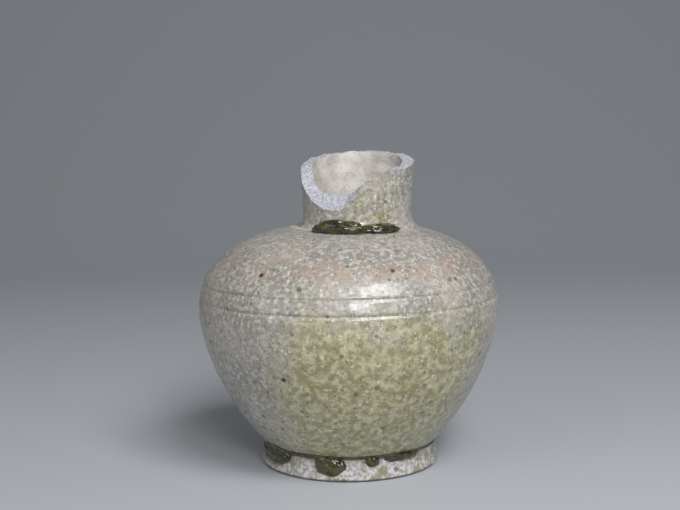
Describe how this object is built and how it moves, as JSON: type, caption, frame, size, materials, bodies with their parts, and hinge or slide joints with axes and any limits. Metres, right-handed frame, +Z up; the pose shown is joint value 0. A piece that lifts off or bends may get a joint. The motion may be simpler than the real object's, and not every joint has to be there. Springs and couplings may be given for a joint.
{
  "type": "jar",
  "caption": "Round-bellied stoneware jar on a low foot ring, with a broken neck stub set slightly off its axis and runs of olive ash glaze.",
  "frame": {"origin": "centre of the foot ring's resting face", "axes": "+Z up along the jar's turning axis, -Y towards the side with the largest flake missing from the neck, +X towards the side the neck leans to"},
  "size_m": [0.1, 0.1, 0.1036],
  "materials": {
    "body_glaze": "satin speckled stoneware glaze with an olive ash sheet on the front",
    "neck_glaze": "satin speckled stoneware glaze, bare granular clay on the broken edge",
    "foot_clay": "matt bare clay with olive glaze washes",
    "ash_glaze": "thick glassy black-green ash glaze"
  },
  "bodies": {
    "root": {"foot_ring": "foot_clay", "lower_body": "body_glaze", "shoulder": "body_glaze", "neck": "neck_glaze", "glaze_pool_neck": "ash_glaze", "glaze_run_foot_left": "ash_glaze", "glaze_run_foot_mid": "ash_glaze", "glaze_run_foot_right": "ash_glaze"}
  },
  "joints": []
}
